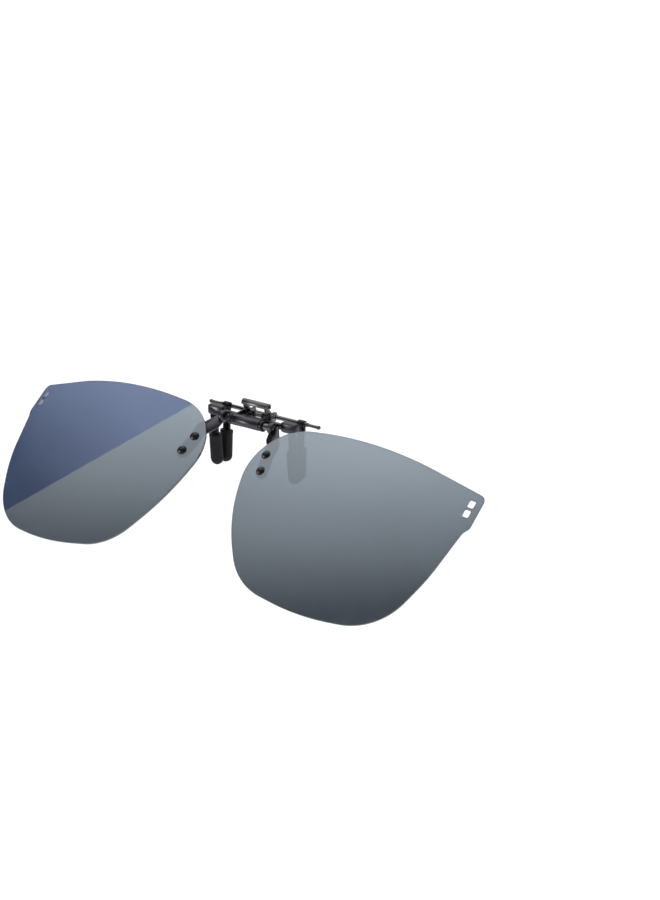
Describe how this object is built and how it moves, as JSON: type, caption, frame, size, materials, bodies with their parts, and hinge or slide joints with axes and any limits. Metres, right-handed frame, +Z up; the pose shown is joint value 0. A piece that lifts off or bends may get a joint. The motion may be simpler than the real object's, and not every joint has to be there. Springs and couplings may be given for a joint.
{
  "type": "clip-on flip lenses",
  "caption": "Tinted wrap lenses riveted to a flip-up hinge rod, carried by a sprung bridge clamp with rubber-sleeved jaws that grips a spectacle frame.",
  "frame": {"origin": "midway between the rubber jaws of the clamp, where the bridge of the host spectacles is gripped", "axes": "+X to the wearer's left along the hinge rod, -Y forward away from the face, +Z up"},
  "size_m": [0.138, 0.0417, 0.0354],
  "materials": {
    "lens_tint": "polished grey polarised sheet, lighter at the top",
    "gunmetal": "satin gunmetal plating",
    "dark_steel": "black plated steel, satin",
    "spring_steel": "bright drawn wire",
    "black_rubber": "matt moulded silicone",
    "black_rivet": "gloss black domes",
    "clear_nylon": "translucent nylon"
  },
  "bodies": {
    "clamp_front": {"hinge_bracket": "gunmetal", "friction_leaf": "spring_steel", "front_jaw_bar": "gunmetal", "front_block_left": "gunmetal", "front_block_right": "gunmetal", "front_prong_left": "dark_steel", "front_prong_right": "dark_steel", "front_sleeve_left": "black_rubber", "front_sleeve_right": "black_rubber", "clamp_pin": "spring_steel", "torsion_spring_left": "spring_steel", "torsion_spring_right": "spring_steel"},
    "clamp_rear": {"thumb_lever": "gunmetal", "rear_jaw_rod": "dark_steel", "rear_prong_left": "dark_steel", "rear_prong_right": "dark_steel", "rear_sleeve_left": "black_rubber", "rear_sleeve_right": "black_rubber"},
    "flip_frame": {"hinge_rod": "spring_steel", "rod_ring_left": "dark_steel", "rod_ring_right": "dark_steel", "lens_bracket_left": "gunmetal", "lens_bracket_right": "gunmetal", "lens_left": "lens_tint", "lens_right": "lens_tint", "rivets_left": "black_rivet", "rivets_right": "black_rivet", "rivet_washers_left": "clear_nylon", "rivet_washers_right": "clear_nylon", "rivet_collars_left": "dark_steel", "rivet_collars_right": "dark_steel"}
  },
  "joints": [
    {"name": "flip_hinge", "type": "hinge", "parent": "clamp_front", "child": "flip_frame", "pos_m": [0, -0.0047, 0.0105], "axis": [-1, 0, 0], "range_deg": [-47, 43]},
    {"name": "squeeze_hinge", "type": "hinge", "parent": "clamp_front", "child": "clamp_rear", "pos_m": [0, 0, 0.011], "axis": [1, 0, 0], "range_deg": [0, 20], "stiffness_Nm_per_rad": 0.03, "springref_deg": -68.75, "deforming": ["torsion_spring_left", "torsion_spring_right"]}
  ]
}
